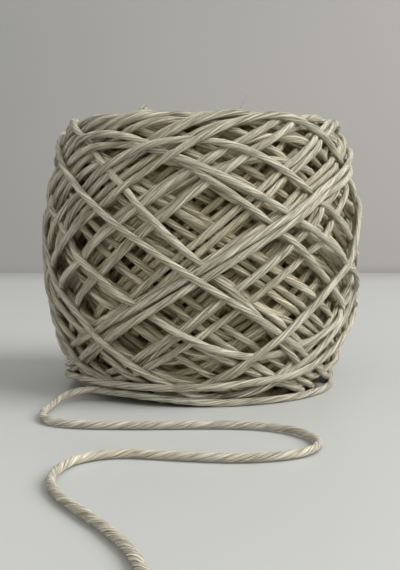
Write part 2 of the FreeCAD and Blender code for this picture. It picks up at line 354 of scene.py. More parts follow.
# %% The older rounds
STEPS_ROUND = 11
ROUND_OFFSET = math.radians(11)  # how much further each round starts than the last
SIDE_BY_SIDE = (3, 4, 4, 5)
SHOWN_FROM = 0.68                # how full the roll is when the strands that show begin
SETTLE = 0.985                   # how full it is when the last round begins
STEP_STRAY = 0.02                # how uneven the steps are, in radians
LEAD_IN = 33                     # degrees from the last of the older groups to the last round
LEAD_IN_FIT = 0.95               # cosine of how far off that may be
LAST_ROUND = [(-143, 3), (-108, 1), (-88, 1), (-68, 1), (-30, 1), (35, 1), (69, 2), (102, 1), (136, 1),
              (194, 3), (355, 2), (250, 1), (277, 1)]
first_shown = 0
azimuth = 0.0
lead_in = math.radians(LAST_ROUND[0][0] - LEAD_IN)
while fullness_now() < SETTLE or math.cos(azimuth - lead_in) < LEAD_IN_FIT:
    azimuth += (2 * math.pi + ROUND_OFFSET) / STEPS_ROUND + chance.normal(0, STEP_STRAY)
    wind_group(azimuth, chance.choice(SIDE_BY_SIDE))
    if not first_shown and fullness_now() > SHOWN_FROM:
        first_shown = len(strokes)
print("strokes", len(strokes), "of which show", len(strokes) - first_shown)

# %% [markdown]
# ## The last round
# The loops on top are the ones that one sees whole, and they are sparser: single strands, pairs and two bands
# of three. Chance wouldn't put them where the picture has them, so each is listed, by the azimuth of its
# lower turning place in degrees and how many lie side by side there. The order counts too: the pair that
# crosses the wide band in front lies on it, so it is wound later. Each way up is shorter by the step to the
# next place, so the two long steps, to that pair and from it, make one strand on either side of the roll
# stand steeper than the rest, and the one on the right climbs the other way round.

# %% The last round
for degrees, count in LAST_ROUND:
    wind_group(math.radians(degrees) - STRAND_PITCH * (count - 1) / 2, count)
print("strokes", len(strokes), "full to", round(float(fullness_now()), 3))

# %% [markdown]
# ## Settling
# Where strands meet at the turning places, the roll has grown past its outline. On the real roll such places
# give way under the tension. So the outermost strands are measured by sector and height, and each layer is
# moved by its share of what they stand over or under the outline, the more the further out it lies. Then the
# map is made again from the settled strands.

# %% Settling
SECTORS = 12
EVEN_ROUND = 30        # cells of the map over which the change is evened out, to each side
EVEN_UP = 12
OUTERMOST = 80         # percentile of the radii in a sector that counts as its outermost strands
FOOT_LEFT_OUT = 0.005  # heights at the ends that are left out, because few strands lie there
RIM_LEFT_OUT = 0.004
SETTLE_PASSES = 3
heights = MAP_FLOOR + (np.arange(MAP_ROWS) + 0.5) * CELL_H
outermost = np.percentile(surface.reshape(SECTORS, -1, MAP_ROWS), OUTERMOST, axis=1)
outermost = np.repeat(outermost, AZIMUTH_CELLS // SECTORS, axis=0)
outermost = np.mean([np.roll(outermost, shift, 0) for shift in range(-EVEN_ROUND, EVEN_ROUND + 1)], axis=0)
covered = slice(*cells(0.0, np.array([FOOT_LEFT_OUT, RIM_Z - RIM_LEFT_OUT]))[1])
beyond = (EVEN_UP + covered.start, EVEN_UP + MAP_ROWS - covered.stop)
padded = np.pad((outermost - outline_radius(heights))[:, covered], ((0, 0), beyond), "edge")
excess = np.mean([padded[:, shift:shift + MAP_ROWS] for shift in range(2 * EVEN_UP + 1)], axis=0)


def settle(stroke):
    """The stroke, moved in by its share of the excess where it lies."""
    azimuth, z, radius = stroke
    level = (radius - TUBE_R) / (outline_radius(z) - TUBE_R)
    return azimuth, z, radius - smooth(excess[cells(azimuth, z)] * np.clip(level, 0, 1), SETTLE_PASSES)


strokes[:] = [settle(stroke) for stroke in strokes]
held.clear()
surface[:] = TUBE_R
for number, stroke in enumerate(strokes):
    if number == first_shown:
        buried = surface.copy()
    add_to_surface(*stroke, number, 0)
least, most = (round(float(move) * 1000, 1) for move in (excess.min(), excess.max()))
print("drawn in by", least, "to", most, "mm")

# %% [markdown]
# ## The turn that has slipped
# The last way down didn't stay on the roll. It slid over the others to the foot and lies round it on the
# table, and from there the free end goes off to the left. Its height follows a curve that falls steeply and
# then runs out. On the roll it is pulled over the map like any other stroke, and lower down it widens to a
# ring that lies on the table.

# %% The turn that has slipped
CORD_LIE = 0.0016                      # height of its middle where it lies on the table
EXIT = (-0.0334, -0.0477, 0.004)       # where the free end begins
LAST_FOOT_AZIMUTH = math.radians(-56)  # where the even way down would have ended
SLIP_FROM = math.radians(35)           # where it begins to leave the even way
SLIP_BLEND = math.radians(40)          # over which it leaves it
SLIP_START = math.radians(5)           # where the falling curve starts
SLIP_AHEAD = -0.2                      # how far before that it holds, as a share of its length
SLIP_TO = math.radians(-150)           # where it has run out
SLIP_LEVEL = 0.0074                    # height at which it runs out
SLIP_RISE = 0.029                      # how much higher it starts
SLIP_STEEPNESS = 3.9
SINK_FROM = math.radians(-140)         # from here on the cord sinks and widens to the ring
SINK_TO = math.radians(-225)
RING_R = 0.0564                        # radius of the ring on the table
RISE_FROM = math.radians(-440)         # from here on it rises to the exit
RING_END = math.radians(-480)


def smooth_step(x):
    """Rise from 0 to 1 with level ends, while x goes from 0 to 1."""
    return 0.5 - 0.5 * np.cos(math.pi * np.clip(x, 0, 1))


def slipped_turn():
    """Lay the last way down, from the rim to where the free end begins."""
    start = strokes[-1][0][-1]
    whole_turns = round((start - LAST_FOOT_AZIMUTH) / (2 * math.pi) - 0.5) * 2 * math.pi
    end = LAST_FOOT_AZIMUTH + whole_turns
    even, even_z = stroke_path(start, end, strokes[-1][1][-1], FOOT_Z, NO_DRIFT)
    azimuth = np.arange(start - whole_turns, RING_END, -STEP / RING_R)
    level = np.interp(-azimuth, -(even - whole_turns), even_z)
    fallen = (SLIP_START - azimuth) / (SLIP_START - SLIP_TO)
    slipped = SLIP_LEVEL + SLIP_RISE * (1 - np.clip(fallen, SLIP_AHEAD, 1)) ** SLIP_STEEPNESS
    z = level + (slipped - level) * smooth_step((SLIP_FROM - azimuth) / SLIP_BLEND)
    lay(azimuth, z)
    azimuth, z, radius = strokes.pop()
    sunk = smooth_step((SINK_FROM - azimuth) / (SINK_FROM - SINK_TO))
    rise = smooth_step((RISE_FROM - azimuth) / (RISE_FROM - RING_END))
    low = CORD_LIE + (EXIT[2] - CORD_LIE) * rise
    ring = RING_R + (math.hypot(*EXIT[:2]) - RING_R) * rise
    strokes.append((azimuth, z + (low - z) * sunk, radius + (ring - radius) * sunk))


wind_up(strokes[-1][0][-1] - DOWN_TRAVEL, 1.0, NO_DRIFT)
slipped_turn()
print("strokes", len(strokes))

# %% [markdown]
# ## Bending in the dips
# Now every stroke knows where others press on it. There it goes down by what they bite, softened along the
# cord so that no kink shows, and a little deeper to make up for the softening.

# %% Bending in the dips
DIP_DEEPER = 1.4
DIP_PASSES = 3
for index, dip in enumerate(dips):
    azimuth, z, radius = strokes[index]
    strokes[index] = azimuth, z, radius - DIP_DEEPER * smooth(np.maximum(dip, smooth(dip, 1)), DIP_PASSES)
length = sum(float(np.hypot(np.diff(azimuth) * radius[1:], np.diff(z)).sum())
             for azimuth, z, radius in strokes)
print("cord wound", round(length, 1), "m")

# %% [markdown]
# ## From a line to a cord
# The cord is a soft bundle of yarns with a slow right-handed twist, pressed a little flat in the roll. A
# plain tube with a bump map would keep a smooth outline, and six twisted yarns would need a million faces.
# So the tube has twelve corners that are crests and valleys in turn and go round with the twist: the yarns
# show in the outline for no more faces than a plain tube.

# %% The rings of a twisted tube
YARNS = 6
SIDES = 2 * YARNS
TWIST_LENGTH = 0.046
FREE_TWIST_LENGTH = 0.019                       # the free end has curled up a little
CREST = 1.02                                    # radius of the yarns' crests, as a share of CORD_R
VALLEYS = (0.22, 0.06, 0.14, 0.04, 0.18, 0.09)  # depth of the grooves between yarns, as shares of CORD_R
PRESSED = (0.82, 0.95)                          # height and width in the roll, as shares of CORD_D
FREE = (0.89, 0.89)
SLUB = 0.03                                     # how much thicker and thinner the cord gets
SLUB_LENGTHS = (0.011, 0.037)


def tube_rings(line, outward, sides, shape, twist_length):
    """Corners of a twisted tube along a line, and the lengths from its start to each ring."""
    way = np.gradient(line, axis=0)
    way /= np.linalg.norm(way, axis=1)[:, None]
    length = np.concatenate(([0], np.cumsum(np.linalg.norm(np.diff(line, axis=0), axis=1))))
    up = outward - (outward * way).sum(1)[:, None] * way
    up /= np.linalg.norm(up, axis=1)[:, None]
    side = np.cross(way, up)
    angle = 2 * math.pi * (np.arange(sides) / sides - length[:, None] / twist_length)
    depth = np.zeros(sides)
    depth[1::2] = np.resize(VALLEYS, sides // 2)
    short, long = (np.sin(2 * math.pi * length / slub_length) for slub_length in SLUB_LENGTHS)
    radius = CORD_R * (1 + SLUB * short * long)[:, None] * (CREST - depth)
    across = (np.cos(angle)[:, :, None] * up[:, None, :] * shape[0]
              + np.sin(angle)[:, :, None] * side[:, None, :] * shape[1])
    return line[:, None, :] + radius[:, :, None] * across, length


print("sides of a strand", SIDES)

# %% [markdown]
# ## One mesh from many tubes
# The rings are joined to closed tubes. Two things are kept with the mesh for the finish: a UV map that runs
# along the cord in metres and once round it, following the twist, and an attribute that says how deep each
# corner lies in the roll, because the deep strands get a painted warm bounce light.

# %% How deep a point lies
DEEP = 0.011


def depth_in_roll(points):
    """How deep points lie in the roll, from 0 at its surface to 1 at DEEP and below."""
    inwards = outline_radius(points[:, 2]) - np.hypot(points[:, 0], points[:, 1])
    depth = np.minimum(inwards, np.minimum(ROLL_H - points[:, 2], points[:, 2] + DEEP / 2)) - CORD_R
    return np.clip(depth / DEEP, 0, 1)


print("depth on the tube", depth_in_roll(np.array([(TUBE_R, 0, BELLY_Z)])))


# %% One mesh from many tubes
def cord_mesh(name, lines, sides=SIDES, shape=PRESSED, twist_length=TWIST_LENGTH):
    """One piece with a closed twisted tube along each line of points and outward ways."""
    corners, quads, caps, uvs = [], [], [], []
    base = 0
    for line, outward in lines:
        rings, length = tube_rings(line, outward, sides, shape, twist_length)
        count = len(line)
        corners.append(rings.reshape(-1, 3))
        here = base + np.arange(count - 1)[:, None] * sides + np.arange(sides)
        after = base + np.arange(count - 1)[:, None] * sides + (np.arange(sides) + 1) % sides
        quads.append(np.stack((here, after, after + sides, here + sides), -1).reshape(-1, 4))
        caps.append(np.stack((base + np.arange(sides)[::-1], base + (count - 1) * sides + np.arange(sides))))
        round_it = np.tile(np.arange(sides) / sides, count - 1)
        near, far = np.repeat(length[:-1], sides), np.repeat(length[1:], sides)
        next_round = round_it + 1 / sides
        quad_uvs = (near, round_it, near, next_round, far, next_round, far, round_it)
        uvs.append(np.stack(quad_uvs, -1).reshape(-1, 2))
        base += count * sides
    corners, quads, caps = np.concatenate(corners), np.concatenate(quads), np.concatenate(caps)
    uvs.append(np.zeros((caps.size, 2)))
    mesh = bpy.data.meshes.new(name)
    mesh.vertices.add(len(corners))
    mesh.vertices.foreach_set("co", corners.ravel())
    mesh.loops.add(quads.size + caps.size)
    mesh.loops.foreach_set("vertex_index", np.concatenate((quads.ravel(), caps.ravel())))
    mesh.polygons.add(len(quads) + len(caps))
    starts = np.concatenate((np.arange(len(quads)) * 4, quads.size + np.arange(len(caps)) * sides))
    mesh.polygons.foreach_set("loop_start", starts)
    mesh.polygons.foreach_set("use_smooth", np.ones(len(starts), bool))
    mesh.update(calc_edges=True)
    mesh.attributes.new("depth", "FLOAT", "POINT").data.foreach_set("value", depth_in_roll(corners))
    mesh.uv_layers.new(name="cord").data.foreach_set("uv", np.concatenate(uvs).ravel())
    piece = bpy.data.objects.new(name, mesh)
    bpy.context.scene.collection.objects.link(piece)
    print(name, "triangles", 2 * len(quads) + len(caps) * (sides - 2))
    return piece


# %% Lines for the tubes
def to_line(azimuth, z, radius):
    """Points and outward ways for azimuths, heights and radii."""
    outward = np.stack((np.cos(azimuth), np.sin(azimuth), 0 * z), -1)
    return outward * radius[:, None] + np.stack((0 * z, 0 * z, z), -1), outward


def joined_line(some_strokes):
    """Points and outward ways of strokes that follow each other."""
    azimuth, z, radius = (np.concatenate([stroke[part][:-1] for stroke in some_strokes[:-1]]
                                         + [some_strokes[-1][part]]) for part in range(3))
    return to_line(azimuth, z, smooth(radius, 2))


print("points from the last two strokes", len(joined_line(strokes[-2:])[0]))

# %% [markdown]
# ## The fibres of twisted cotton
# Close to, the cord shows dark grooves between its yarns, splits within them and fine lines of fibres, all
# running with the twist; their darkness is the shade in them, and here it is painted shade. A photograph of
# cord would be one way, but it repeats and slides. Here the pattern is made from the cord's own UV map, bent
# round so that it has no seam. The cord of the roll and the free end both use it with their own colours, so
# it is a node group. Its first cell makes the group and its sockets.


# %% A short way to add a node
def feed(made, **inputs):
    """Give inputs of a node, each called in_ and its number or name, a value or a link from an output."""
    for name, value in inputs.items():
        key = name[3:]
        socket = made.inputs[int(key) if key.isdigit() else key.replace("_", " ")]
        if isinstance(value, bpy.types.NodeSocket):
            made.id_data.links.new(value, socket)
        else:
            socket.default_value = value


def node(tree, kind, place, **settings):
    """Add a node; settings that start with in_ feed its inputs, and the others are its own."""
    made = tree.nodes.new(kind)
    made.location = place
    for name, value in settings.items():
        if name.startswith("in_"):
            feed(made, **{name: value})
        else:
            setattr(made, name, value)
    return made


group = bpy.data.node_groups.new("twisted fibres", "ShaderNodeTree")
# Fibre and Groove are painted shade colours: of the fine lines, and of the grooves and splits.
for name, way, kind in (("UV", "INPUT", "NodeSocketVector"), ("Pale", "INPUT", "NodeSocketColor"),
                        ("Fibre", "INPUT", "NodeSocketColor"), ("Groove", "INPUT", "NodeSocketColor"),
                        ("Color", "OUTPUT", "NodeSocketColor"), ("Height", "OUTPUT", "NodeSocketFloat")):
    group.interface.new_socket(name=name, in_out=way, socket_type=kind)
group_in = node(group, "NodeGroupInput", (-1400, 0))
print("sockets", [item.name for item in group.interface.items_tree])

# %% Noise that runs with the fibres
HAIR_NOISE = (9.0, 4.5, 2.0)  # how much it is stretched along the cord, its scale and its detail
SPLIT_NOISE = (14.0, 3.2, 1.0)
HAIR_WIDTH = 0.05             # half a line's width, as a change of the noise
SPLIT_WIDTH = 0.028

split = node(group, "ShaderNodeSeparateXYZ", (-1200, 0), in_0=group_in.outputs["UV"])
turn = node(group, "ShaderNodeMath", (-1000, -200), operation="MULTIPLY",
            in_0=split.outputs["Y"], in_1=2 * math.pi)
cosine = node(group, "ShaderNodeMath", (-800, -100), operation="COSINE", in_0=turn.outputs[0])
sine = node(group, "ShaderNodeMath", (-800, -300), operation="SINE", in_0=turn.outputs[0])


def fibre_noise(stretch, scale, detail, y):
    """Noise on the cord's surface; a small stretch makes its spots long along the cord."""
    along = node(group, "ShaderNodeMath", (-800, y), operation="MULTIPLY",
                 in_0=split.outputs["X"], in_1=stretch)
    place = node(group, "ShaderNodeCombineXYZ", (-600, y),
                 in_X=along.outputs[0], in_Y=cosine.outputs[0], in_Z=sine.outputs[0])
    noise = node(group, "ShaderNodeTexNoise", (-400, y),
                 in_Vector=place.outputs[0], in_Scale=scale, in_Detail=detail)
    return noise.outputs["Fac"]


def thin_lines(value, half_width, y):
    """0 on thin lines where a value crosses one half, 1 beside them."""
    from_line = node(group, "ShaderNodeMath", (-200, y), operation="SUBTRACT", in_0=value, in_1=0.5)
    size = node(group, "ShaderNodeMath", (-50, y), operation="ABSOLUTE", in_0=from_line.outputs[0])
    line = node(group, "ShaderNodeMapRange", (100, y), interpolation_type="SMOOTHSTEP",
                in_0=size.outputs[0], in_2=half_width)
    return line.outputs[0]


hairs = thin_lines(fibre_noise(*HAIR_NOISE, 300), HAIR_WIDTH, 300)
splits = thin_lines(fibre_noise(*SPLIT_NOISE, 0), SPLIT_WIDTH, 0)
print("nodes so far", len(group.nodes))

# %% [markdown]
# The grooves between yarns lie where the tube has its valleys. On the real cord they close up here and there,
# so another noise fills them in places. The deeper of groove and split then counts, and both get a painted
# shade.

# %% Grooves between the yarns
CLOSED_NOISE = (20.0, 1.4, 1.0)
CLOSED_FROM = 0.40  # values of that noise at which a groove begins to close, and is closed
CLOSED_TO = 0.58
GROOVE_WIDTH = 0.14

yarns = node(group, "ShaderNodeMath", (-800, 600), operation="MULTIPLY",
             in_0=split.outputs["Y"], in_1=float(YARNS))
within = node(group, "ShaderNodeMath", (-600, 600), operation="FRACT", in_0=yarns.outputs[0])
closed = node(group, "ShaderNodeMapRange", (-200, 900),
              in_0=fibre_noise(*CLOSED_NOISE, 900), in_1=CLOSED_FROM, in_2=CLOSED_TO)
grooves = node(group, "ShaderNodeMath", (0, 800), operation="MAXIMUM",
               in_0=thin_lines(within.outputs[0], GROOVE_WIDTH, 600), in_1=closed.outputs[0])
gaps = node(group, "ShaderNodeMath", (150, 700), operation="MINIMUM", in_0=grooves.outputs[0], in_1=splits)
print("nodes so far", len(group.nodes))

# %% Their colour and height
PATCH_NOISE = (9.0, 0.8, 2.0)
PATCH_SHADES = (0.88, 1.08)  # of the darkest and the lightest patches
HAIR_HEIGHT = 0.35           # share of the fine lines in the relief

height = node(group, "ShaderNodeMix", (300, 0), in_0=HAIR_HEIGHT, in_2=gaps.outputs[0], in_3=hairs)
# Painted shade: the fine lines of fibres take the darker Fibre colour.
dark = node(group, "ShaderNodeMix", (300, 300), data_type="RGBA",
            in_0=hairs, in_6=group_in.outputs["Fibre"], in_7=group_in.outputs["Pale"])
# Painted shade: grooves and splits take the dark Groove colour.
tint = node(group, "ShaderNodeMix", (500, 100), data_type="RGBA",
            in_0=gaps.outputs[0], in_6=group_in.outputs["Groove"], in_7=dark.outputs[2])
patch = node(group, "ShaderNodeMapRange", (300, -400), in_0=fibre_noise(*PATCH_NOISE, -300),
             in_1=0.3, in_2=0.7, in_3=PATCH_SHADES[0], in_4=PATCH_SHADES[1])
shade = node(group, "ShaderNodeHueSaturation", (700, 100),
             in_Value=patch.outputs[0], in_Color=tint.outputs[2])
node(group, "NodeGroupOutput", (900, 0), in_Color=shade.outputs["Color"], in_Height=height.outputs[0])
print("fibre group with", len(group.nodes), "nodes")

# %% [markdown]
# ## Cotton
# Undyed cotton is matt and pale. Its fibres shine faintly at grazing angles, which is the sheen, and light
# goes a little way into it, which is the subsurface part and keeps the shaded sides soft. Deep in the roll
# light has bounced between many strands and is warmer, so the depth attribute tints the colour there: a
# painted warm bounce light. The free end has relaxed, so its grooves are fainter.

# %% Cotton
# The fibre and groove colours are painted shade of the fine lines and of the grooves and splits.
COTTON_PALE = (0.74, 0.695, 0.545, 1)
COTTON_FIBRE_LINE_SHADE = (0.38, 0.34, 0.23, 1)
COTTON_GROOVE_SHADE = (0.25, 0.195, 0.10, 1)
# Painted warm bounce light: where the depth attribute is 1, the colour is multiplied by this.
COTTON_DEEP_PAINTED_BOUNCE = (1.1, 0.97, 0.70, 1)
FREE_PALE = (0.76, 0.71, 0.57, 1)
FREE_FIBRE_LINE_SHADE = (0.50, 0.45, 0.32, 1)
FREE_GROOVE_SHADE = (0.30, 0.24, 0.14, 1)


def new_material(name, **inputs):
    """A material whose shader has these inputs, with its node tree and its shader."""
    material = bpy.data.materials.new(name)
    material.use_nodes = True
    shader = material.node_tree.nodes["Principled BSDF"]
    feed(shader, **inputs)
    return material, material.node_tree, shader


def cotton_material(name, pale, fibre, groove, relief_depth):
    """Soft cotton with its fibres; the colours are those of crests, and the painted shade of fine lines and
    grooves.
    """
    material, tree, shader = new_material(
        name, in_Roughness=0.92, in_Sheen_Weight=0.15, in_Sheen_Roughness=0.6, in_Specular_IOR_Level=0.2,
        in_Subsurface_Weight=0.2, in_Subsurface_Radius=(1.0, 0.8, 0.5), in_Subsurface_Scale=0.0007)
    uv = node(tree, "ShaderNodeUVMap", (-1000, 0), uv_map="cord")
    fibres = node(tree, "ShaderNodeGroup", (-800, 0), node_tree=group,
                  in_UV=uv.outputs[0], in_Pale=pale, in_Fibre=fibre, in_Groove=groove)
    # Painted warm bounce light, tinted in by the depth attribute.
    depth = node(tree, "ShaderNodeAttribute", (-800, 300), attribute_name="depth")
    deep = node(tree, "ShaderNodeMix", (-500, 100), data_type="RGBA", blend_type="MULTIPLY",
                in_0=depth.outputs["Fac"], in_6=fibres.outputs["Color"], in_7=COTTON_DEEP_PAINTED_BOUNCE)
    relief = node(tree, "ShaderNodeBump", (-300, -200),
                  in_Strength=1.0, in_Distance=relief_depth, in_Height=fibres.outputs["Height"])
    feed(shader, in_Base_Color=deep.outputs[2], in_Normal=relief.outputs[0])
    return material


cotton = cotton_material("soft cotton", COTTON_PALE, COTTON_FIBRE_LINE_SHADE, COTTON_GROOVE_SHADE, 0.0006)
free_cotton = cotton_material("relaxed cotton", FREE_PALE, FREE_FIBRE_LINE_SHADE, FREE_GROOVE_SHADE, 0.0005)
print("materials", cotton.name, "and", free_cotton.name)

# %% [markdown]
# ## The cord of the roll
# Only the outer strands can be seen, and a few diameters down it is dark. Those strands are whole tubes, cut
# into some pieces so that none gets too heavy. The last piece ends at the place where the free end begins.

# %% The cord of the roll
PIECES = 10


def finish_piece(piece, material, replaced):
    """Give a piece its material and its place in the frame."""
    piece.data.materials.append(material)
    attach(piece, "root")
    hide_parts(replaced)


shown = strokes[first_shown:]
for part in range(PIECES):
    first, last = (len(shown) * (part + share) // PIECES for share in (0, 1))
    line, outward = joined_line(shown[first:last])
    if part == PIECES - 1:
        line, outward = np.vstack((line, EXIT)), np.vstack((outward, outward[-1]))
    finish_piece(cord_mesh("wound_cord_%d" % (part + 1), [(line, outward)]), cotton, "outer_winding")

# %% [markdown]
# ## The free end
# The free end leaves the roll just over the table, sinks to it in a few centimetres and lies in loose curves.
# Its way is a smooth spline along listed places. The spline gives the points, and the same twisted tube as in
# the roll goes along them, so that both look like one cord.

# %% The way of the free end
CORD_REST = 0.0017
TAIL_START = [EXIT, (-0.0383, -0.0447, 0.004)]
TAIL_ROUTE = [
    (-45.3, -44.2, 3.1),
    (-51.8, -47.6, 2.2),
    (-55.2, -54.5, 1.1),
    (-56.8, -64.0, 0.3),
    (-58.2, -74.0, 0.0),
    (-56.5, -84.5, 0.0),
    (-49.5, -92.5, 0.0),
    (-37.0, -95.2, 0.0),
    (-18.0, -95.8, 0.0),
    (4.0, -94.3, 0.0),
    (21.0, -96.0, 0.0),
    (31.5, -103.5, 0.0),
    (37.0, -115.0, 0.0),
    (35.8, -128.5, 0.0),
    (26.5, -137.3, 0.0),
    (11.0, -141.0, 0.0),
    (-8.0, -137.6, 0.0),
    (-24.5, -133.6, 0.0),
    (-36.0, -139.5, 0.0),
    (-41.0, -151.0, 0.0),
    (-41.8, -164.5, 0.0),
    (-37.5, -178.0, 0.0),
    (-29.5, -192.0, 0.0),
    (-20.0, -208.0, 0.0),
    (-13.0, -226.0, 0.0),
    (-9.0, -246.0, 0.0),
]  # millimetres: X, Y and the lift over a cord that lies on the table
route = TAIL_START + [(x / 1000, y / 1000, CORD_REST + lift / 1000) for x, y, lift in TAIL_ROUTE]
curve = bpy.data.curves.new("tail_route", "CURVE")
curve.dimensions = "3D"
spline = curve.splines.new("NURBS")
spline.points.add(len(route) - 1)
for point, spot in zip(spline.points, route):
    point.co = (*spot, 1)
spline.order_u = 3
spline.use_endpoint_u = True
spline.resolution_u = 12
guide = bpy.data.objects.new("tail_route", curve)
tail_line = np.array([vertex.co[:] for vertex in bpy.data.meshes.new_from_object(guide).vertices])
bpy.data.objects.remove(guide)

# %% The free end
tail_up = np.tile((0.0, 0.0, 1.0), (len(tail_line), 1))
tail = cord_mesh("loose_end", [(tail_line, tail_up)], shape=FREE, twist_length=FREE_TWIST_LENGTH)
finish_piece(tail, free_cotton, "loose_tail")

# %% [markdown]
# ## The older loops at both ends
# Seen from above or below, the roll shows the turns of every loop, back to the tube. Of the strands that are
# buried, only these turns are made, as lighter tubes with eight sides.

# %% The older loops at both ends
END_DEPTH = 0.013
END_SIDES = 8
END_REACH = 30  # points to each side of a turning place


def turn_line(before, after):
    """Line through the turning place between two strokes."""
    azimuth, z, radius = (np.concatenate((a[-END_REACH:], b[1:END_REACH])) for a, b in zip(before, after))
    near_end = np.abs(z - before[1][-1]) < END_DEPTH
    return to_line(azimuth[near_end], z[near_end], smooth(radius[near_end], 2))


buried_strokes = strokes[:first_shown + 1]
turns = [turn_line(before, after) for before, after in zip(buried_strokes, buried_strokes[1:])]
for name, some in (("rim_loops", turns[::2]), ("foot_loops", turns[1::2])):
    finish_piece(cord_mesh(name, some, END_SIDES), cotton, "inner_winding")

# %% [markdown]
# ## A bow over the rim
# One older loop has slipped over the rim at the front and stands up from it as a small bow. Its line is a
# handful of places, as radius and height, in the upright plane through the roll's axis.

# %% A bow over the rim
BOW_AZIMUTH = math.radians(-117.5)
BOW = [(0.0525, 0.1085), (0.0520, 0.1115), (0.0505, 0.1142),
       (0.0485, 0.1150), (0.0465, 0.1138), (0.0450, 0.1110)]
radius, z = np.array(BOW).T
line, outward = to_line(np.full(len(BOW), BOW_AZIMUTH), z, radius)
finish_piece(cord_mesh("rim_bow", [(line, outward + (0.0, 0.0, 1.0))]), cotton, "inner_winding")

# %% [markdown]
# ## The heart of the roll
# Under the strands that are made as tubes there are hundreds more, packed together. They are only glimpsed
# through the deepest gaps, so one body stands for them. A cylinder is cut into rings, and each corner is set
# to what the map knew at its place when the shown strands began: the relief of the buried strands. Then its
# ends are drawn in and bridged round the tube, so that it is closed.

# %% The shape of the heart
HEART_SINK = 0.0012
HEART_SIDES = 180
HEART_CUTS = 42
HEART_ENDS = (0.004, 0.1085)
HEART_BORE = TUBE_R + 0.0003
relief = np.mean([np.roll(buried, shift, 0) for shift in (-1, 0, 1)], axis=0)
relief = np.mean([np.roll(relief, shift, 1) for shift in (-1, 0, 1)], axis=0) - HEART_SINK

low_end, high_end = HEART_ENDS
bpy.ops.mesh.primitive_cylinder_add(vertices=HEART_SIDES, radius=HEART_BORE, depth=high_end - low_end,
                                    end_fill_type="NOTHING", location=(0, 0, (low_end + high_end) / 2))
bpy.ops.object.transform_apply(location=True, rotation=False, scale=False)
heart = bpy.context.object
heart.name = "heart"
bpy.ops.object.mode_set(mode="EDIT")
bpy.ops.mesh.select_mode(type="EDGE")
bpy.ops.mesh.select_all(action="DESELECT")
bpy.ops.object.mode_set(mode="OBJECT")
for edge in heart.data.edges:
    low, high = sorted(heart.data.vertices[index].co.z for index in edge.vertices)
    edge.select = high - low > CORD_R
bpy.ops.object.mode_set(mode="EDIT")
bpy.ops.mesh.subdivide(number_cuts=HEART_CUTS)
bpy.ops.object.mode_set(mode="OBJECT")
for vertex in heart.data.vertices:
    azimuth = math.atan2(vertex.co.y, vertex.co.x)
    radius = relief[cells(np.array(azimuth), np.array(vertex.co.z))]
    vertex.co.x, vertex.co.y = radius * math.cos(azimuth), radius * math.sin(azimuth)
print("heart corners", len(heart.data.vertices))

# %% Closing the heart round the tube
bpy.ops.object.mode_set(mode="EDIT")
bpy.ops.mesh.select_all(action="DESELECT")
bpy.ops.mesh.select_non_manifold()
bpy.ops.mesh.extrude_edges_move()
bpy.ops.object.mode_set(mode="OBJECT")
for vertex in heart.data.vertices:
    if vertex.select:
        azimuth = math.atan2(vertex.co.y, vertex.co.x)
        vertex.co.x, vertex.co.y = HEART_BORE * math.cos(azimuth), HEART_BORE * math.sin(azimuth)
bpy.ops.object.mode_set(mode="EDIT")
bpy.ops.mesh.bridge_edge_loops()
bpy.ops.mesh.select_all(action="SELECT")
bpy.ops.mesh.normals_make_consistent(inside=False)
bpy.ops.object.mode_set(mode="OBJECT")
bpy.ops.object.shade_smooth()
bpy.ops.object.select_all(action="DESELECT")
print("heart triangles", sum(len(face.vertices) - 2 for face in heart.data.polygons))

# %% [markdown]
# Packed cotton so far down shows only as a warm dark tone with a little grain, so plain noise is enough. The
# dark tone is painted shade.

# %% Packed cotton
# Painted shade: both tones of the buried cotton are darker than its own colour.
PACKED_SHADE_DARK = (0.30, 0.22, 0.11, 1)
PACKED_SHADE_LIGHT = (0.52, 0.42, 0.26, 1)
packed, tree, shader = new_material("packed cotton", in_Roughness=0.95)
place = node(tree, "ShaderNodeTexCoord", (-900, 0))
noise = node(tree, "ShaderNodeTexNoise", (-700, 0),
             in_Vector=place.outputs["Object"], in_Scale=400.0, in_Detail=4.0)
tone = node(tree, "ShaderNodeMix", (-300, 0), data_type="RGBA",
            in_0=noise.outputs["Fac"], in_6=PACKED_SHADE_DARK, in_7=PACKED_SHADE_LIGHT)
grain = node(tree, "ShaderNodeBump", (-300, -250),
             in_Strength=0.6, in_Distance=0.0004, in_Height=noise.outputs["Fac"])
feed(shader, in_Base_Color=tone.outputs[2], in_Normal=grain.outputs[0])
finish_piece(heart, packed, "inner_winding")
print("material", packed.name)

# %% [markdown]
# ## Loose fibres
# Soft cotton is never clean: short fibres stand off every strand and blur its edge. They could be a hair
# system, but that isn't a mesh, so each one is a thin three-sided tube that bends and tapers. They grow only
# from strands near the surface, where they can be seen.

# %% A mesh of thin fibres
FIBRE_RINGS = 4
FIBRE_TAPER = 0.7  # share of its radius that a fibre loses on its way


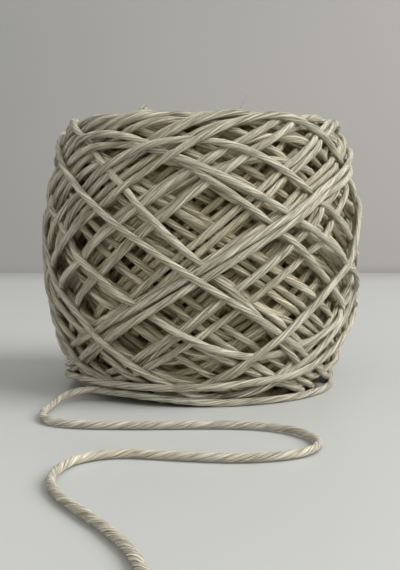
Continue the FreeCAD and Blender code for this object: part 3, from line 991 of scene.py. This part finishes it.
def fibre_mesh(name, roots, ways, bends, radii):
    """One piece with a thin tapering tube from each root; way and bend say where it goes."""
    across = np.cross(ways, bends + (0.0, 0.0, 1e-6))
    across /= np.linalg.norm(across, axis=1)[:, None]
    up = np.cross(ways, across)
    up /= np.linalg.norm(up, axis=1)[:, None]
    share = np.linspace(0, 1, FIBRE_RINGS)[None, :, None, None]
    middle = roots[:, None, None] + ways[:, None, None] * share + bends[:, None, None] * share ** 2
    angle = (np.arange(3) * 2 * math.pi / 3)[None, None, :, None]
    ring = np.cos(angle) * across[:, None, None] + np.sin(angle) * up[:, None, None]
    corners = middle + ring * radii[:, None, None, None] * (1 - FIBRE_TAPER * share)
    corners[..., 2] = np.maximum(corners[..., 2], 0)
    faces = []
    size = FIBRE_RINGS * 3
    for base in range(0, len(roots) * size, size):
        faces += [(base + 2, base + 1, base), (base + size - 3, base + size - 2, base + size - 1)]
        for corner in range(base, base + size - 3, 3):
            faces += [(corner + side, corner + (side + 1) % 3, corner + 3 + (side + 1) % 3, corner + 3 + side)
                      for side in range(3)]
    mesh = bpy.data.meshes.new(name)
    mesh.from_pydata(corners.reshape(-1, 3).tolist(), [], faces)
    piece = bpy.data.objects.new(name, mesh)
    bpy.context.scene.collection.objects.link(piece)
    print(name, "triangles", sum(len(face) - 2 for face in faces))
    return piece


def fibre_material(name, color):
    """One plain colour, nearly matt."""
    return new_material(name, in_Base_Color=(*color, 1), in_Roughness=0.9)[0]


# %% Loose fibres on the strands
FIBRES = 2600
FIBRE_R = 0.00003
FIBRE_LENGTHS = (0.0010, 0.0042)
FIBRE_DEPTH = 0.15  # how deep in the roll they still grow, as the depth attribute says it
FIBRE_SPREAD = 0.7  # how much they lean away from straight out
FIBRE_OUT = 0.5     # share of its length by which a fibre stands off
FIBRE_ALONG = 0.8   # share by which it goes along the cord, one way or the other
FIBRE_BEND = 0.4
FIBRE_ROOT = 0.9    # where it starts, as a share of the cord's radius
line, outward = joined_line(shown)
way = np.gradient(line, axis=0)
way /= np.linalg.norm(way, axis=1)[:, None]
picked = chance.choice(np.flatnonzero(depth_in_roll(line) < FIBRE_DEPTH), FIBRES)
stand = outward[picked] + chance.normal(0, FIBRE_SPREAD, (FIBRES, 3))
stand /= np.linalg.norm(stand, axis=1)[:, None]
reach = chance.uniform(*FIBRE_LENGTHS, FIBRES)[:, None]
ways = stand * reach * FIBRE_OUT + way[picked] * reach * chance.normal(0, FIBRE_ALONG, (FIBRES, 1))
bends = chance.normal(0, FIBRE_BEND, (FIBRES, 3)) * reach
roots = line[picked] + stand * CORD_R * FIBRE_ROOT
fibres = fibre_mesh("fibres", roots, ways, bends, np.full(FIBRES, FIBRE_R))
finish_piece(fibres, fibre_material("cotton fibre", (0.72, 0.68, 0.57)), "outer_winding")

# %% [markdown]
# One hair has caught on the rim and stands up at the back of the picture. It is the same kind of tube, a
# little thicker, and its nearly black colour is painted shade, the shade that makes it show dark against the
# bright wall.

# %% The dark hair
HAIR_ROOT = (0.0140, -0.0450, 0.1130)
HAIR_WAY = (0.0016, 0.0, 0.0040)
HAIR_BEND = (0.0018, 0.0, 0.0028)
HAIR_R = 0.00009
hair = fibre_mesh("painted_shade_hair", *(np.array([values]) for values in (HAIR_ROOT, HAIR_WAY, HAIR_BEND, HAIR_R)))
# Painted shade: the hair's nearly black colour stands for the shade it shows against the bright wall.
finish_piece(hair, fibre_material("dark fibre", (0.10, 0.085, 0.075)), "outer_winding")

# %% [markdown]
# ## The paper tube
# The tube is wound from strips of grey-brown paperboard, so a fine seam climbs round it. It keeps its packed
# shape and only gets that finish. The seam is where the azimuth and the height, each as a share of a turn,
# add up to a whole number.

# %% The paper tube
SEAM_CLIMB = 0.05  # height that the seam climbs in one turn
SEAM_WIDTH = 0.02  # as a share of that height
paper, tree, shader = new_material("paperboard", in_Roughness=0.85)
place = node(tree, "ShaderNodeTexCoord", (-1400, 0))
split = node(tree, "ShaderNodeSeparateXYZ", (-1200, 0), in_0=place.outputs["Object"])
angle = node(tree, "ShaderNodeMath", (-1000, 100), operation="ARCTAN2",
             in_0=split.outputs["Y"], in_1=split.outputs["X"])
turns_round = node(tree, "ShaderNodeMath", (-800, 100), operation="MULTIPLY",
                   in_0=angle.outputs[0], in_1=1 / (2 * math.pi))
climb = node(tree, "ShaderNodeMath", (-600, 0), operation="MULTIPLY_ADD",
             in_0=split.outputs["Z"], in_1=1 / SEAM_CLIMB, in_2=turns_round.outputs[0])
fraction = node(tree, "ShaderNodeMath", (-400, 0), operation="FRACT", in_0=climb.outputs[0])
seam = node(tree, "ShaderNodeMapRange", (-200, 0), in_0=fraction.outputs[0], in_1=0.0, in_2=SEAM_WIDTH)

# %% Its colour and grain
BOARD_DARK = (0.33, 0.26, 0.18, 1)
BOARD_LIGHT = (0.5, 0.42, 0.32, 1)
BOARD_SEAM = (0.2, 0.15, 0.1, 1)
GRAIN_HEIGHT = 0.3  # share of the grain in the relief
grain = node(tree, "ShaderNodeTexNoise", (-400, -300),
             in_Vector=place.outputs["Object"], in_Scale=900.0, in_Detail=4.0)
board = node(tree, "ShaderNodeMix", (0, -200), data_type="RGBA",
             in_0=grain.outputs["Fac"], in_6=BOARD_DARK, in_7=BOARD_LIGHT)
color = node(tree, "ShaderNodeMix", (200, 0), data_type="RGBA",
             in_0=seam.outputs[0], in_6=BOARD_SEAM, in_7=board.outputs[2])
height = node(tree, "ShaderNodeMath", (200, -400), operation="MULTIPLY_ADD",
              in_0=grain.outputs["Fac"], in_1=GRAIN_HEIGHT, in_2=seam.outputs[0])
bump = node(tree, "ShaderNodeBump", (400, -300),
            in_Strength=0.7, in_Distance=0.0003, in_Height=height.outputs[0])
feed(shader, in_Base_Color=color.outputs[2], in_Normal=bump.outputs[0])
tube = bpy.data.objects["core_tube"]
tube.data.materials.clear()
tube.data.materials.append(paper)
print("tube finished with", paper.name)

# %% [markdown]
# ## Table and wall
# The roll stands on a pale table in front of a plain wall. Both are painted a little lighter on the right, as
# painted light of the window there. In the picture the table's far edge is out of focus. The camera here is
# sharp everywhere, so the table fades to a colour near the wall's close to that edge instead, and the wall
# gets a slightly darker band just above the edge, a painted shadow of the table's edge.


# %% A plain painted surface
def painted(name, low, high, roughness, slope, edge, edge_color):
    """A paint with painted light, lighter from left to right, that fades to another colour past an edge."""
    material, tree, shader = new_material(name, in_Roughness=roughness)
    place = node(tree, "ShaderNodeTexCoord", (-1200, 0))
    split = node(tree, "ShaderNodeSeparateXYZ", (-1000, 0), in_0=place.outputs["Object"])
    noise = node(tree, "ShaderNodeTexNoise", (-1000, 200), in_Vector=place.outputs["Object"], in_Scale=6.0)
    # Painted light: the colour gets lighter to the right, as the window's light does.
    mixed = node(tree, "ShaderNodeMath", (-800, 100), operation="MULTIPLY_ADD",
                 in_0=split.outputs["X"], in_1=slope, in_2=noise.outputs["Fac"])
    mix = node(tree, "ShaderNodeMix", (-500, 0), data_type="RGBA",
               in_0=mixed.outputs[0], in_6=(*low, 1), in_7=(*high, 1))
    fade = node(tree, "ShaderNodeMapRange", (-800, -200), interpolation_type="SMOOTHSTEP",
                in_0=split.outputs["Y"], in_1=edge[0], in_2=edge[1])
    color = node(tree, "ShaderNodeMix", (-300, 0), data_type="RGBA",
                 in_0=fade.outputs[0], in_6=mix.outputs[2], in_7=(*edge_color, 1))
    feed(shader, in_Base_Color=color.outputs[2])
    return material


def sheet(name, size, place, tilt, material):
    """A flat sheet of the stage."""
    bpy.ops.mesh.primitive_plane_add(size=1, location=place, rotation=(tilt, 0, 0))
    made = bpy.context.object
    made.name = name
    made.scale = (*size, 1)
    made.data.materials.append(material)


# %% Table and wall
TABLE_SIZE = (6, 4.83)
TABLE_PLACE = (0, -1.585, 0)
WALL_SIZE = (6, 4)
WALL_PLACE = (0, 1.6, 0.5)
# Each paint: left and right colours, roughness, slope of the painted light to the right, edge, and colour
# past it. The wall's colour past its edge is a painted shadow of the table's edge.
TABLE_PAINT = ((0.55, 0.562, 0.548), (0.58, 0.592, 0.578), 0.4, 2.0, (0.455, 0.503), (0.43, 0.43, 0.42))
WALL_PAINT = ((0.365, 0.365, 0.349), (0.437, 0.421, 0.402), 0.9, 6.0, (-0.1305, -0.1365), (0.36, 0.35, 0.335))
sheet("floor", TABLE_SIZE, TABLE_PLACE, 0, painted("table paint", *TABLE_PAINT))
sheet("backdrop", WALL_SIZE, WALL_PLACE, math.pi / 2, painted("wall paint", *WALL_PAINT))
print("table and wall stand")

# %% [markdown]
# ## Light
# The light is that of a room: a large window high on the right, a weaker one in front on the left, and the
# glow of the walls, which the world gives. Both lamps stand far off, so the table is lit evenly, and they are
# large, so the shadow has no hard edge.

# %% Light
ROOM_COLOR = (1.0, 0.985, 0.96, 1)
ROOM_STRENGTH = 0.49
LIT_PLACE = Vector((0, 0, 0.05))
world = bpy.data.worlds.new("room")
world.use_nodes = True
feed(world.node_tree.nodes["Background"], in_Color=ROOM_COLOR, in_Strength=ROOM_STRENGTH)
bpy.context.scene.world = world


def lamp(name, place, size, power):
    """A square lamp that faces the roll."""
    data = bpy.data.lights.new(name, "AREA")
    data.size = size
    data.energy = power
    made = bpy.data.objects.new(name, data)
    made.location = place
    made.rotation_euler = (LIT_PLACE - Vector(place)).to_track_quat("-Z", "Y").to_euler()
    bpy.context.scene.collection.objects.link(made)


lamp("window", place=(2.05, -0.85, 1.85), size=2.1, power=87)
lamp("room_light", place=(-0.6, -2.8, 2.6), size=2.7, power=16)

# %% [markdown]
# ## Finish
# The plain view transform shows the colours as they are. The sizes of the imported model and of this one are
# written down side by side, because the second has to stay within the first but for a little fuzz.

# %% Finish
bpy.context.scene.view_settings.view_transform = "Standard"
